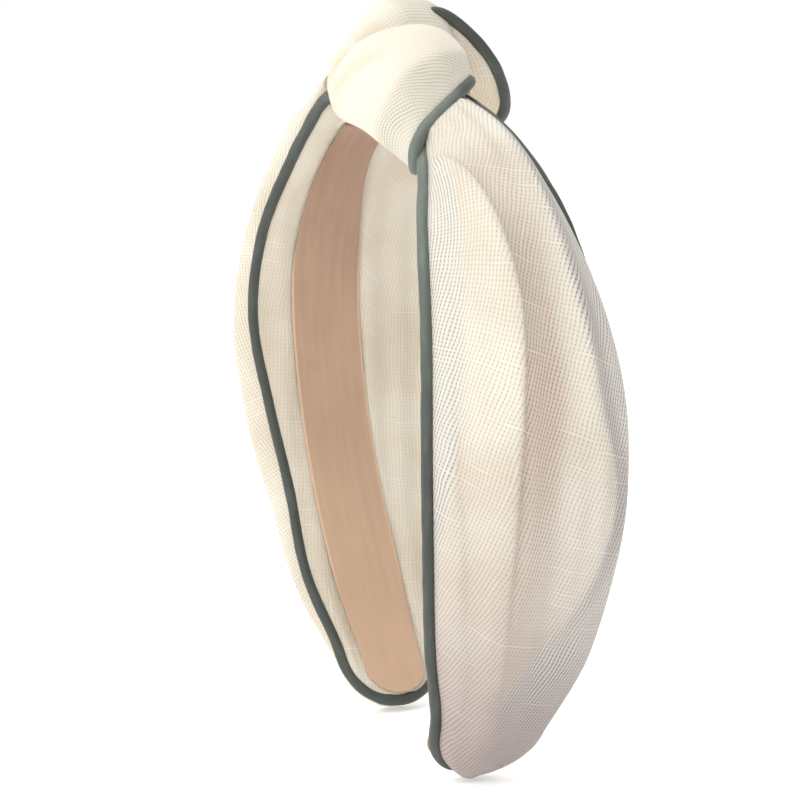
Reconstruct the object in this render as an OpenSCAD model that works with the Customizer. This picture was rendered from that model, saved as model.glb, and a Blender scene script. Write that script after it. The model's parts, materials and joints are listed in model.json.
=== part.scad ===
// Knotted fabric headband: a springy hoop under a gathered, piped sheer casing with a knot on the crown.
// The origin is the axis of the crown arc. +X is the right leg, -Y the front, +Z up to the knot.
// A place on the hoop is given as t, y, n: t along it from the crown (negative on the left leg),
// y across it, and n outwards from the middle of the hoop core.

/* [Head] */
// Inner radius of the crown, where the lining lies on the head
head_r = 60; // [50:0.5:75]
// Inner radius of each leg below its widest point
leg_inner_r = 135; // [100:1:200]
// Arc of each leg below its widest point, in degrees
leg_angle = 38; // [25:1:45]
// How far each tip leans across the hoop, right tip forward and left tip back
tip_skew = 6; // [0:0.5:8]
// Sideways bow of each half of the hoop above its widest point
crown_bow = 1.5; // [0:0.1:2]

/* [Hoop core] */
// Thickness of the plastic core
core_t = 1.8; // [1.2:0.1:3]
// Width of the core
core_w = 14; // [8:0.5:15]
// Width of the core at its tips
core_tip_w = 8; // [5:0.5:9]
// Length of the casing left empty past each tip of the core
core_setback = 8; // [6:0.5:14]

/* [Ribbons] */
// Thickness of the lining ribbon
ribbon_t = 0.6; // [0.3:0.1:1]
// Width of the lining ribbon
ribbon_w = 18; // [12:0.5:20]
// Width of the lining ribbon where it goes under the knot
ribbon_knot_w = 12; // [8:0.5:14]
// Thickness of the tape that holds the lining ribbon
tape_t = 0.15; // [0.1:0.05:0.3]
// Thickness of the ribbon glued to the outside of the core
back_ribbon_t = 0.4; // [0.2:0.1:0.6]

/* [Casing] */
// Thickness of one layer of sheer cloth
cloth_t = 0.35; // [0.25:0.05:0.5]
// Half width of the casing where it is widest
casing_half_w = 19.8; // [19:0.2:24]
// Height of the gathered outer cloth above the hoop
puff_h = 12; // [8:0.5:16]
// Length of the rounded nose at each tip
nose_len = 14; // [10:0.5:18]
// How far the casing reaches past the lining ribbon at each tip
tip_margin = 1.5; // [0.5:0.5:3]

/* [Piping] */
// Outside diameter of the covered piping
piping_d = 2.8; // [2.4:0.1:3]
// Diameter of the filler cord inside the piping
filler_d = 1.6; // [1.2:0.1:2]

/* [Knot] */
// Distance from the middle of the crown to where the lining ribbons and casings start
knot_start = 19; // [19:0.5:24]
// Height of the main wrap above the hoop
wrap_h = 16; // [14:0.5:20]
// Height of the upper fold above the hoop
fold_h = 24; // [20:0.5:26]
// Reach of the main wrap to the front and to the back
wrap_reach = 16.5; // [16:0.5:19]
// Thickness of the folded cloth in the knot
knot_cloth_t = 0.8; // [0.6:0.1:1]
// Thickness of the thread that tacks the knot under the hoop
thread_d = 0.5; // [0.4:0.1:0.8]

/* [Hidden] */

LEFT = -1;
RIGHT = 1;
// Clearance between pieces that lie on each other
gap = 0.05;
// Clearance beside the piping and round the filler cord
seam_gap = 0.15;

// Stack of layers through the hoop, as offsets n from the middle of the core
panel_n = core_t / 2 + gap;
tape_n = panel_n + cloth_t + gap;
lining_n = tape_n + tape_t + gap;
core_r = head_r + lining_n + ribbon_t;
leg_r = leg_inner_r + lining_n + ribbon_t;
piping_r = piping_d / 2;
puff_n = max(piping_r, core_t / 2 + gap + back_ribbon_t) + seam_gap;

// Lengths along the hoop
deg = 180 / PI;
crown_len = core_r * 90 / deg;
leg_len = crown_len + leg_r * leg_angle / deg;
casing_tip = leg_len + tip_margin;
core_tip = casing_tip - core_setback;
nose_start = casing_tip - nose_len;
wide_reach = casing_half_w * 3;
// The wrap passes under the core between the ends of the lining ribbons
under_end = knot_start - 1.5;

// Smooth step from 0 to 1
function ease(x) = let (c = min(max(x, 0), 1)) c * c * (3 - 2 * c);

// Smooth value through equally spaced values, at x from 0 to 1; works on numbers and points
function through(v, x) =
    let (last = len(v) - 1, s = min(max(x, 0), 1) * last, i = min(floor(s), last - 1), f = s - i,
         a = v[max(i - 1, 0)], b = v[i], c = v[i + 1], d = v[min(i + 2, last)])
    b + 0.5 * f * (c - a + f * (2 * a - 5 * b + 4 * c - d + f * (3 * (b - c) + d - a)));

function side_of(t) = t < 0 ? LEFT : RIGHT;

// Point at t, y, n on the hoop
function on_hoop(p) =
    let (t = abs(p[0]), s = side_of(p[0]), crown = t * deg / core_r, leg = (t - crown_len) * deg / leg_r)
    t <= crown_len
        ? [s * (core_r + p[2]) * sin(crown), p[1], (core_r + p[2]) * cos(crown)]
        : [s * (core_r - leg_r + (leg_r + p[2]) * cos(leg)), p[1], -(leg_r + p[2]) * sin(leg)];

// Reach of each edge of each casing, as shares of its full half width, from the knot to the nose
FRONT = -1;
BACK = 1;
right_front_shape = [0.34, 0.47, 0.78, 0.94, 1, 0.97, 0.86, 0.64];
right_back_shape = [0.57, 0.69, 0.86, 0.955, 1, 0.93, 0.7, 0.28];
left_front_shape = [0.72, 0.76, 0.925, 0.98, 0.82, 0.66, 0.6, 0.36];
left_back_shape = [1.72, 1.67, 1.59, 1.53, 1.455, 1.34, 1.15, 0.9];

// Line of the piping across the hoop on one edge, ahead of the nose
function edge_y(t, edge) =
    let (shape = t < 0 ? (edge == FRONT ? left_front_shape : left_back_shape)
                       : (edge == FRONT ? right_front_shape : right_back_shape))
    edge * casing_half_w * through(shape, (abs(t) - knot_start) / (nose_start - knot_start));

// Middle of the hoop core and of the casing across the hoop
function core_mid(t) =
    let (d = abs(t), below = max(d - crown_len, 0) / (leg_len - crown_len))
    side_of(t) * (crown_bow * sin(180 * min(d / crown_len, 1)) - tip_skew * pow(below, 1.2));
function casing_mid(t) = (edge_y(t, BACK) + edge_y(t, FRONT)) / 2;

// Rounded end: share of the full width at x from 0 to 1 along it
function nose(x) = sqrt(max(1 - pow(max(x, 0), 2), 0));

// Half widths of the core, the lining ribbon and the line of the piping
function core_half(t) =
    let (d = abs(t), taper = ease((d - crown_len) / (core_tip - crown_len)))
    (core_w + (core_tip_w - core_w) * taper) / 2 * nose((d - core_tip + core_tip_w / 2) / (core_tip_w / 2));
function ribbon_half(t) =
    let (d = abs(t), swell = ease((d - 30) / 50), end = ease((d - leg_len + 40) / 35), round_end = 7)
    (ribbon_knot_w + (ribbon_w - ribbon_knot_w) * (swell - 0.5 * end)) / 2
        * nose((d - leg_len + round_end) / round_end);
function piping_half(t) =
    (edge_y(t, BACK) - edge_y(t, FRONT)) / 2 * nose((abs(t) - nose_start) / nose_len);

// Flat pieces that follow the hoop

// Hoop on one side from t = from on the crown to t = to on the leg, between offsets n_low and n_high
module hoop_slab(side, n_low, n_high, from, to) {
    mirror([side == LEFT ? 1 : 0, 0, 0])
        rotate([90, 0, 0]) {
            ring_arc(core_r, n_low, n_high, 90 - from * deg / core_r);
            translate([core_r - leg_r, 0, 0])
                mirror([0, 1, 0])
                    ring_arc(leg_r, n_low, n_high, (to - crown_len) * deg / leg_r);
        }
}

// Ring of radius r, as wide as anything, from angle 0 to the given angle
module ring_arc(r, n_low, n_high, angle) {
    rotate_extrude(angle = angle, $fn = 360)
        translate([r + n_low, -wide_reach])
            square([n_high - n_low, 2 * wide_reach]);
}

// Stations from t = from to t = to, closer together at the rounded end
function stations(from, to, count) =
    [for (i = [0:count]) from + (to - from) * sin(90 * i / count)];

// Outline of a strip seen along X, with its first end carried up past the crown
function outline(side, ts, mid, half) =
    let (front = [for (t = ts) [on_hoop([t, 0, 0])[2], mid(side * t) - half(side * t)]],
         back = [for (t = ts) [on_hoop([t, 0, 0])[2], mid(side * t) + half(side * t)]])
    concat([[2 * core_r, front[0][1]]], front, reversed(back), [[2 * core_r, back[0][1]]]);

// Strip between n_low and n_high whose middle and half width are functions of t
module strip(side, n_low, n_high, from, to, mid, half) {
    low_end = to - 0.05;
    intersection() {
        hoop_slab(side, n_low, n_high, from, low_end);
        rotate([0, -90, 0])
            linear_extrude(height = 4 * core_r, center = true)
                polygon(outline(side, stations(from, low_end, 26), mid, half));
    }
}

// Soft pieces as grids of points

function flip(faces, yes) = yes ? [for (f = faces) [for (i = [len(f) - 1:-1:0]) f[i]]] : faces;

// Closed solid between two grids of the same size; both are lists of rows
module between(upper, lower, inside_out = false) {
    rows = len(upper);
    cols = len(upper[0]);
    half = rows * cols;
    points = [for (grid = [upper, lower]) for (row = grid) for (p = row) p];
    faces = [
        for (r = [0:rows - 2]) for (c = [0:cols - 2]) let (a = r * cols + c)
            each [[a, a + 1, a + cols + 1], [a, a + cols + 1, a + cols]],
        for (r = [0:rows - 2]) for (c = [0:cols - 2]) let (a = half + r * cols + c)
            each [[a, a + cols + 1, a + 1], [a, a + cols, a + cols + 1]],
        for (r = [0:rows - 2]) for (a = [[r * cols, 1], [r * cols + cols - 1, 0]])
            each rim(a[0], a[0] + cols, half, a[1]),
        for (c = [0:cols - 2]) for (a = [[c, 0], [half - cols + c, 1]])
            each rim(a[0], a[0] + 1, half, a[1])];
    polyhedron(points = points, faces = flip(faces, inside_out), convexity = 6);
}

// Two triangles that close the edge from point a to point b between the two grids
function rim(a, b, half, turned) =
    flip([[a, b + half, b], [a, a + half, b + half]], turned == 1);

// Round tube along points; hollow when bore_r is not 0
module tube(path, r, bore_r = 0, sides = 8) {
    last = len(path) - 1;
    along = [for (i = [0:last]) unit(path[min(i + 1, last)] - path[max(i - 1, 0)])];
    start = unit(cross(along[0], [0.3, 0.5, 0.81]));
    across = [for (i = 0, v = start; i <= last;
                   i = i + 1, v = unit(v - (v * along[min(i, last)]) * along[min(i, last)])) v];
    outer = rings(path, along, across, r, sides);
    if (bore_r == 0)
        polyhedron(points = [for (ring = outer) each ring],
                   faces = concat(wall(last, sides, 0, false),
                                  [[for (k = [0:sides - 1]) k],
                                   [for (k = [sides - 1:-1:0]) last * sides + k]]),
                   convexity = 10);
    else {
        inner = rings(path, along, across, bore_r, sides);
        n = (last + 1) * sides;
        polyhedron(points = [for (grid = [outer, inner]) for (ring = grid) each ring],
                   faces = concat(wall(last, sides, 0, false), wall(last, sides, n, true),
                                  [for (k = [0:sides - 1]) let (m = (k + 1) % sides)
                                      each [[k, m, m + n], [k, m + n, k + n]]],
                                  [for (k = [0:sides - 1]) let (m = (k + 1) % sides, b = last * sides)
                                      each [[b + m, b + k, b + k + n], [b + m, b + k + n, b + m + n]]]),
                   convexity = 10);
    }
}

function unit(v) = v / norm(v);
function rings(path, along, across, r, sides) =
    [for (i = [0:len(path) - 1]) let (u = unit(across[i] - (across[i] * along[i]) * along[i]),
                                      w = cross(along[i], u))
        [for (k = [0:sides - 1]) path[i] + r * (cos(360 * k / sides) * u + sin(360 * k / sides) * w)]];
function wall(last, sides, first, inward) =
    flip([for (i = [0:last - 1]) for (k = [0:sides - 1])
             let (a = first + i * sides + k, b = first + i * sides + (k + 1) % sides)
             each [[a, a + sides, b + sides], [a, b + sides, b]]], inward);

// Casing

// Point on a gathered layer: x from 0 at the front edge to 1 at the back edge
function puffed(side, d, x, height, reach, inset) =
    let (t = side * d, rise = ease((d - knot_start + 3) / 55) * (1 - 0.55 * ease((d - 120) / 65)),
         lift = height * (0.14 + 0.86 * rise) * nose((d - nose_start + 6) / (nose_len + 8)),
         bulge = 1 + 0.22 * pow(sin(180 * x), 2) * rise, half = piping_half(t) * reach - inset)
    on_hoop([t, casing_mid(t) - half * cos(180 * x) * bulge,
             puff_n + inset + max(lift - 2 * inset, 0.4) * pow(sin(180 * x), 0.7)]);
function puffed_grid(side, to, height, reach, inset) =
    [for (i = [0:26]) let (d = knot_start + (to - knot_start) * sin(90 * i / 26))
        [for (k = [0:12]) puffed(side, d, k / 12, height, reach, inset)]];

module gathered_layer(side, to, height, reach) {
    between(puffed_grid(side, to, height + cloth_t, reach, 0),
            puffed_grid(side, to, height, reach, cloth_t), side == LEFT);
}

module outer_panel(side) {
    color([0.95, 0.92, 0.83, 0.8])
        gathered_layer(side, casing_tip - 2.5, puff_h, 1);
}

module underlay(side) {
    color([0.86, 0.82, 0.74])
        gathered_layer(side, nose_start, puff_h * 0.62, 0.8);
}

// Half width that clears the piping, with a nose that runs inside the piping's own nose
function panel_half(t) =
    let (inset = piping_r + 3 * seam_gap, past = (abs(t) - nose_start) / (nose_len - inset))
    (past < 0 ? piping_half(t) - inset : (piping_half(side_of(t) * nose_start) - inset) * nose(past));
// Middle of the panel, which stays put along the nose as the piping's own middle does
function panel_mid(t) = casing_mid(side_of(t) * min(abs(t), nose_start));

module inner_panel(side) {
    color([0.9, 0.87, 0.78])
        strip(side, -panel_n - cloth_t, -panel_n, knot_start, casing_tip - piping_r - 3 * seam_gap,
              function(t) panel_mid(t), function(t) panel_half(t));
}

// Hoop and ribbons

module band_core() {
    color([0.88, 0.85, 0.78])
        for (side = [LEFT, RIGHT])
            strip(side, -core_t / 2, core_t / 2, 0, core_tip, function(t) core_mid(t), function(t) core_half(t));
}

module core_back_ribbon() {
    color([0.72, 0.56, 0.46])
        for (side = [LEFT, RIGHT])
            strip(side, core_t / 2 + gap, core_t / 2 + gap + back_ribbon_t, 0, core_tip - 1,
                  function(t) core_mid(t), function(t) max(core_half(t) - 0.4, 0.1));
}

module lining_tape(side) {
    color([0.93, 0.92, 0.86])
        strip(side, -tape_n - tape_t, -tape_n, knot_start + 1, core_tip - 1, function(t) core_mid(t),
              function(t) max(ribbon_half(t) - 1.5, 0.5));
}

module lining_ribbon(side) {
    color([0.76, 0.6, 0.5])
        strip(side, -lining_n - ribbon_t, -lining_n, knot_start, leg_len, function(t) core_mid(t),
              function(t) ribbon_half(t));
}

// Piping

// Line of the piping on one edge, from the knot down to the nose
function edge_line(side, edge, from) =
    [for (i = [0:22]) let (d = from + (nose_start - from) * i / 22)
        [side * d, casing_mid(side * d) + edge * piping_half(side * d), 0]];
function nose_line(side) =
    [for (a = [-75:15:75]) let (d = nose_start + nose_len * cos(a), mid = casing_mid(side * nose_start))
        [side * d, mid + piping_half(side * nose_start) * sin(a), 0]];
function reversed(v) = [for (i = [len(v) - 1:-1:0]) v[i]];

// Back edge of the left casing where it spreads and climbs over the knot
collar_line = [[-36, 33.6, 0], [-27, 34.6, 0.1], [-20, 35, 1], [-14.5, 33, 3.8], [-10.5, 29.8, 8.5],
               [-9, 25.7, 13.5], [-8, 20.2, 18.5], [-7, 14, 22.2], [-6, 8, 25.2]];

// Where the left back edge turns into the collar, and where the right front edge leaves the wrap
collar_start = 44;
wrap_corner = 41;

function piping_path(side) = [for (p = concat(
    edge_line(side, -1, side == LEFT ? knot_start : wrap_corner), nose_line(side),
    reversed(edge_line(side, 1, side == LEFT ? collar_start : knot_start - 6)),
    side == LEFT ? [for (i = [0:16]) through(collar_line, i / 16)] : [])) on_hoop(p)];

module piping(side) {
    color([0.28, 0.32, 0.3])
        tube(piping_path(side), piping_r, filler_d / 2 + seam_gap);
}

module filler_cord(side) {
    color([0.93, 0.92, 0.9])
        tube(piping_path(side), filler_d / 2, sides = 6);
}

// Knot

// Gathered end of each casing under the main wrap
module gather(side) {
    color([0.9, 0.86, 0.76])
        between([for (i = [0:6]) gather_row(side, 1 + (knot_start - 2) * i / 6, 1)],
                [for (i = [0:6]) gather_row(side, 1 + (knot_start - 2) * i / 6, 0.05)], side == LEFT);
}

function gather_row(side, d, height) =
    [for (k = [0:10]) on_hoop([side * d, core_mid(side * d) - 8 * cos(18 * k),
                               puff_n + (0.5 + 1.6 * sin(18 * k)) * height])];

// Main wrap: around is the angle about the hoop, 0 at the back and 180 at the front, and
// x goes from 0 at the upper left edge to 1 at the piped edge
function wrap_point(around, x, out) =
    let (up = sin(around), below = max(-up, 0),
         from = max(-15 + 4 * up + 2 * cos(around), -under_end),
         slant_end = 22.5 - 14.5 * cos(around),
         to = slant_end + (min(slant_end, under_end) - slant_end) * ease(below * 2.2),
         top = through([0.55, 0.86, 1, 0.9, 0.42], x) * wrap_h,
         under = core_t / 2 + seam_gap + knot_cloth_t / 2, level = 2,
         n = up >= 0 ? level + (top - level) * pow(up, 0.85) : level - (level + under) * pow(below, 0.3),
         reach = (wrap_reach - (cos(around) < 0 ? 4 * pow(x, 2) : 0)) * (1 - 0.12 * pow(below, 2)))
    on_hoop([from + (to - from) * x, (reach + out) * cos(around), n + out * up]);

module knot_wrap() {
    color([0.96, 0.93, 0.85])
        closed_loop([for (k = [0:31]) [for (j = [0:9]) wrap_point(360 * k / 32, j / 9, knot_cloth_t / 2)]],
                    [for (k = [0:31]) [for (j = [0:9]) wrap_point(360 * k / 32, j / 9, -knot_cloth_t / 2)]]);
}

// Closed ring between an outer and an inner grid whose last row joins the first
module closed_loop(outer, inner) {
    rows = len(outer);
    cols = len(outer[0]);
    half = rows * cols;
    points = [for (grid = [outer, inner]) for (row = grid) for (p = row) p];
    faces = [for (r = [0:rows - 1]) let (a = r * cols, b = ((r + 1) % rows) * cols) each concat(
        [for (c = [0:cols - 2]) each [[a + c, b + c + 1, a + c + 1], [a + c, b + c, b + c + 1]]],
        [for (c = [0:cols - 2]) each [[half + a + c, half + a + c + 1, half + b + c + 1],
                                      [half + a + c, half + b + c + 1, half + b + c]]],
        [[a, a + half, b + half], [a, b + half, b]],
        [[a + cols - 1, b + half + cols - 1, a + half + cols - 1],
         [a + cols - 1, b + cols - 1, b + half + cols - 1]])];
    polyhedron(points = points, faces = flip(faces, true), convexity = 10);
}

// Line of the piping just past the wrap's lower edge, square to that edge
wrap_piping_path = [for (a = [-8:8:192])
    let (p = wrap_point(a, 1, 0), along = unit(wrap_point(a + 4, 1, 0) - wrap_point(a - 4, 1, 0)),
         out = p - wrap_point(a, 0.9, 0), square = unit(out - (out * along) * along))
    p + square * (piping_r + 6 * seam_gap) + unit([p[0], 0, p[2]]) * 1.1];

module knot_wrap_piping() {
    color([0.28, 0.32, 0.3])
        tube(wrap_piping_path, piping_r, filler_d / 2 + seam_gap);
}

module knot_wrap_filler() {
    color([0.93, 0.92, 0.9])
        tube(wrap_piping_path, filler_d / 2, sides = 6);
}

// Upper fold, from the front of the knot over its top to the back edge of the left casing
fold_near = [[-6, -13, 11], [-5.5, -9.5, 15], [-5, -3, fold_h - 3], [-6, 4.5, fold_h - 0.5], [-8, 11.5, fold_h - 2.5],
             [-9, 18, 17], [-10.5, 23, 12.5], [-12.5, 26.5, 8], [-17, 28, 5.5]];
fold_far = [[-19, -13, 5], [-21, -10, 9.5], [-23, -3.5, 15], [-25, 4, 17.5], [-27, 10.5, 17], [-30, 16, 14.5],
            [-32, 20, 12.5], [-34, 22, 11], [-36, 22, 10.5]];

function fold_point(along, x, out) =
    let (p = through(fold_near, along), q = through(fold_far, along), m = p + (q - p) * x,
         swell = 2 * sin(180 * x))
    on_hoop([m[0], m[1] + min((along - 0.4) * 2, 0.6) * out, m[2] + swell + out * (1 - abs(along - 0.4))]);

module knot_fold() {
    color([0.94, 0.91, 0.82])
        between([for (i = [0:24]) [for (j = [0:6]) fold_point(i / 24, j / 6, knot_cloth_t / 2)]],
                [for (i = [0:24]) [for (j = [0:6]) fold_point(i / 24, j / 6, -knot_cloth_t / 2)]]);
}

// Thread loops that hold the wrap to the gathered casings
module knot_tack_stitches() {
    color([0.92, 0.9, 0.82])
        for (y = [-6, -2, 2, 6])
            translate([0, y, core_r + puff_n + 5.5])
                rotate([0, 90, 0])
                    cylinder(h = 9, d = thread_d, center = true, $fn = 24);
}

band_core();
core_back_ribbon();
lining_tape(LEFT);  // left_lining_tape
lining_tape(RIGHT);  // right_lining_tape
lining_ribbon(LEFT);  // left_lining_ribbon
lining_ribbon(RIGHT);  // right_lining_ribbon
inner_panel(LEFT);  // left_inner_panel
inner_panel(RIGHT);  // right_inner_panel
underlay(LEFT);  // left_underlay
underlay(RIGHT);  // right_underlay
outer_panel(LEFT);  // left_outer_panel
outer_panel(RIGHT);  // right_outer_panel
filler_cord(LEFT);  // left_filler_cord
filler_cord(RIGHT);  // right_filler_cord
piping(LEFT);  // left_piping
piping(RIGHT);  // right_piping
gather(LEFT);  // left_gather
gather(RIGHT);  // right_gather
knot_wrap();
knot_wrap_filler();
knot_wrap_piping();
knot_fold();
knot_tack_stitches();
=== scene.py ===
"""Looks of the knotted headband: sheer gathered casings, dark piping, lining ribbons and the knot.

Places on the hoop are t, y, n in millimetres: t along it from the crown (negative on the left leg),
y across it and n outwards from the middle of the plastic core. Meshes are made in metres.
"""
import json
import logging
from collections.abc import Callable, Sequence
from dataclasses import dataclass, field
from enum import Enum
from math import cos, exp, floor, pi, radians, sin, sqrt

import bmesh
import bpy
from mathutils import Matrix, Vector


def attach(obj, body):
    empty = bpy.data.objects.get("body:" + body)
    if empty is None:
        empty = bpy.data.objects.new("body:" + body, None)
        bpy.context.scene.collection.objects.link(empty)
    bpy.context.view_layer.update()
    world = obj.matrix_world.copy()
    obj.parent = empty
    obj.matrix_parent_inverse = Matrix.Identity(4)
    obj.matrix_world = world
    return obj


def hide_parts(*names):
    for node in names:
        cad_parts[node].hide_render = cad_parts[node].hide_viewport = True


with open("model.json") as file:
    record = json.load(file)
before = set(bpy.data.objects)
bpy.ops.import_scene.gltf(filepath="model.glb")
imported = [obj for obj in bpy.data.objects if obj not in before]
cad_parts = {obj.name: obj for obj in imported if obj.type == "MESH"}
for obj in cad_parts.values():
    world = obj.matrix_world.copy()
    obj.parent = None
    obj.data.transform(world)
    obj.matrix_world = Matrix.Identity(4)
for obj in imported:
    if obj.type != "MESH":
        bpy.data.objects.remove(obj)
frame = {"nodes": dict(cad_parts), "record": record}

log = logging.getLogger("headband")
MM = 0.001
Rows = tuple[tuple[tuple[float, float, float], ...], ...]
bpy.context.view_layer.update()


# Choices


class Side(Enum):
    """Which half of the hoop a piece is on."""

    LEFT = -1
    RIGHT = 1


class Edge(Enum):
    """Which long edge of a casing."""

    FRONT = -1
    BACK = 1


# Curves and places


def ease(x: float) -> float:
    """Smooth step from 0 to 1."""
    c = min(max(x, 0.0), 1.0)
    return c * c * (3 - 2 * c)


def nose(x: float) -> float:
    """Share of the full width at x from 0 to 1 along a rounded end."""
    return sqrt(max(1 - max(x, 0.0) ** 2, 0.0))


def bump(x: float, middle: float, width: float) -> float:
    """Soft hill of height 1 at the middle, gone at about twice the width."""
    return exp(-(((x - middle) / width) ** 2))


def through(values: Sequence, x: float):
    """Smooth value through equally spaced values.

    Args:
        values: numbers or Vectors.
        x: place along them, from 0 to 1.

    Returns:
        The number or Vector at x.
    """
    last = len(values) - 1
    s = min(max(x, 0.0), 1.0) * last
    i = min(floor(s), last - 1)
    f = s - i
    a, b, c, d = values[max(i - 1, 0)], values[i], values[i + 1], values[min(i + 2, last)]
    return b + (c - a + (a * 2 - b * 5 + c * 4 - d + ((b - c) * 3 + d - a) * f) * f) * (0.5 * f)


@dataclass(frozen=True)
class Hoop:
    """The sprung hoop that every piece follows, in millimetres."""

    head_r: float
    leg_inner_r: float = 135.0
    leg_angle: float = 38.0
    tip_skew: float = 6.0
    crown_bow: float = 1.5
    lining_stack: float = 2.15

    @property
    def core_r(self) -> float:
        """Radius of the crown at the middle of the core."""
        return self.head_r + self.lining_stack

    @property
    def leg_r(self) -> float:
        """Radius of the legs at the middle of the core."""
        return self.leg_inner_r + self.lining_stack

    @property
    def crown_len(self) -> float:
        """Length of half the crown arc."""
        return self.core_r * pi / 2

    @property
    def leg_len(self) -> float:
        """Length from the crown to the end of the leg arc."""
        return self.crown_len + self.leg_r * radians(self.leg_angle)

    def place(self, t: float, y: float, n: float) -> Vector:
        """Point at t, y, n, in millimetres."""
        d, s = abs(t), (-1 if t < 0 else 1)
        if d <= self.crown_len:
            a = d / self.core_r
            return Vector((s * (self.core_r + n) * sin(a), y, (self.core_r + n) * cos(a)))
        a = (d - self.crown_len) / self.leg_r
        x = self.core_r - self.leg_r + (self.leg_r + n) * cos(a)
        return Vector((s * x, y, -(self.leg_r + n) * sin(a)))

    def core_mid(self, t: float) -> float:
        """Middle of the core across the hoop."""
        s = -1 if t < 0 else 1
        below = max(abs(t) - self.crown_len, 0) / (self.leg_len - self.crown_len)
        return s * (self.crown_bow * sin(pi * min(abs(t) / self.crown_len, 1)) - self.tip_skew * below**1.2)


# Meshes


def finish_mesh(name: str, bm: bmesh.types.BMesh) -> bpy.types.Object:
    """Turn a bmesh into a smooth, linked object.

    Args:
        name: name of the object and mesh.
        bm: the bmesh, which is freed.

    Returns:
        The new object.
    """
    mesh = bpy.data.meshes.new(name)
    for face in bm.faces:
        face.smooth = True
    bm.to_mesh(mesh)
    bm.free()
    obj = bpy.data.objects.new(name, mesh)
    bpy.context.scene.collection.objects.link(obj)
    return obj


def woven_grid(
    name: str,
    rows: int,
    cols: int,
    place: Callable[[float, float], Vector],
    closed: bool = False,
    capped: bool = False,
    layers: Callable[[float, float], tuple[float, float, float]] | None = None,
) -> bpy.types.Object:
    """Cloth as a grid whose UV map is its own length and width in millimetres.

    Args:
        name: name of the object.
        rows: faces along the cloth.
        cols: faces across the cloth.
        place: point in millimetres from the shares along and across it.
        closed: whether the last column meets the first, as in a tube.
        capped: whether the ends of a tube are closed.
        layers: how far the cloth is backed, and its shares of painted shade in hollows and towards the tip,
            from the shares along and across it.

    Returns:
        The new object.
    """
    bm = bmesh.new()
    # The colour attribute holds how far the cloth is backed and two shares of painted shade.
    backing_and_painted_shade = bm.verts.layers.float_color.new("Layers")
    bmesh.ops.create_grid(bm, x_segments=cols, y_segments=rows, size=1)
    spots = {v: (round((v.co.y + 1) / 2 * rows), round((v.co.x + 1) / 2 * cols)) for v in bm.verts}
    points = [[place(r / rows, c / cols) for c in range(cols + 1)] for r in range(rows + 1)]
    across, along = [], [0.0]
    for r, row in enumerate(points):
        sums = [0.0]
        for a, b in zip(row, row[1:]):
            sums.append(sums[-1] + (b - a).length)
        across.append([s - sums[cols // 2] for s in sums])
        if r:
            along.append(along[-1] + (row[cols // 2] - points[r - 1][cols // 2]).length)
    layer = bm.loops.layers.uv.new("Weave")
    for face in bm.faces:
        for loop in face.loops:
            r, c = spots[loop.vert]
            loop[layer].uv = (across[r][c], along[r])
    for v, (r, c) in spots.items():
        v.co = points[r][c] * MM
        v[backing_and_painted_shade] = (*(layers(r / rows, c / cols) if layers else (1.0, 0.0, 0.0)), 1.0)
    if closed:
        bmesh.ops.remove_doubles(bm, verts=bm.verts, dist=1e-7)
    if capped:
        ends = [e for e in bm.edges if e.is_boundary]
        bmesh.ops.holes_fill(bm, edges=ends, sides=0)
    if closed:
        bmesh.ops.recalc_face_normals(bm, faces=bm.faces)
    return finish_mesh(name, bm)


def smooth_path(points: Sequence[Vector], spacing: float, rounds: int = 3) -> list[Vector]:
    """Path through the points with even steps and no kinks.

    Args:
        points: the points to follow.
        spacing: step between the new points.
        rounds: how often each point is drawn towards its neighbours.

    Returns:
        The new points, which keep both ends.
    """
    lengths = [0.0]
    for a, b in zip(points, points[1:]):
        lengths.append(lengths[-1] + (b - a).length)
    count = max(int(lengths[-1] / spacing), 4)
    path, i = [], 0
    for k in range(count + 1):
        want = lengths[-1] * k / count
        while i < len(points) - 2 and lengths[i + 1] < want:
            i += 1
        share = (want - lengths[i]) / max(lengths[i + 1] - lengths[i], 1e-9)
        path.append(points[i].lerp(points[i + 1], share))
    for _ in range(rounds):
        path = [path[0]] + [(a + b * 2 + c) / 4 for a, b, c in zip(path, path[1:], path[2:])] + [path[-1]]
    return path


def tube(
    name: str,
    path: Sequence[Vector],
    radius: Callable[[float, float], float],
    sides: int = 20,
) -> bpy.types.Object:
    """Closed tube along a path.

    Args:
        name: name of the object.
        path: its centreline in millimetres.
        radius: radius from the length along and the angle round, in millimetres and radians.
        sides: faces round it.

    Returns:
        The new object.
    """
    last = len(path) - 1
    frames, v, length = [], Vector((0.3, 0.5, 0.81)), 0.0
    for i, p in enumerate(path):
        along = (path[min(i + 1, last)] - path[max(i - 1, 0)]).normalized()
        v = (v - along * v.dot(along)).normalized()
        length += (p - path[i - 1]).length if i else 0.0
        frames.append((p, v.copy(), along.cross(v), length))

    def place(share: float, turn: float) -> Vector:
        """Point on the tube."""
        p, u, w, length = frames[round(share * last)]
        a = 2 * pi * turn
        return p + (u * cos(a) + w * sin(a)) * radius(length, a)

    return woven_grid(name, last, sides, place, closed=True, capped=True)


def strands(name: str, path: Sequence[Vector], diameter: float) -> bpy.types.Object:
    """Twisted filler cord along a piping's path."""
    return tube(name, path[::2], lambda s, a: diameter / 2 * (1 - 0.16 * abs(sin(1.5 * a + s * 1.1))), 12)


def thicken(obj: bpy.types.Object, thickness: float, offset: float = -1.0) -> bpy.types.Object:
    """Give a sheet its thickness in millimetres with a Solidify modifier."""
    wall = obj.modifiers.new("Thickness", "SOLIDIFY")
    wall.thickness = thickness * MM
    wall.offset = offset
    wall.use_even_offset = False
    return obj


# Materials


def tone(code: str) -> tuple[float, float, float, float]:
    """Linear colour of a six-digit display colour."""
    parts = [int(code[i : i + 2], 16) / 255 for i in (0, 2, 4)]
    return (*[c / 12.92 if c <= 0.04045 else ((c + 0.055) / 1.055) ** 2.4 for c in parts], 1.0)


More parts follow.
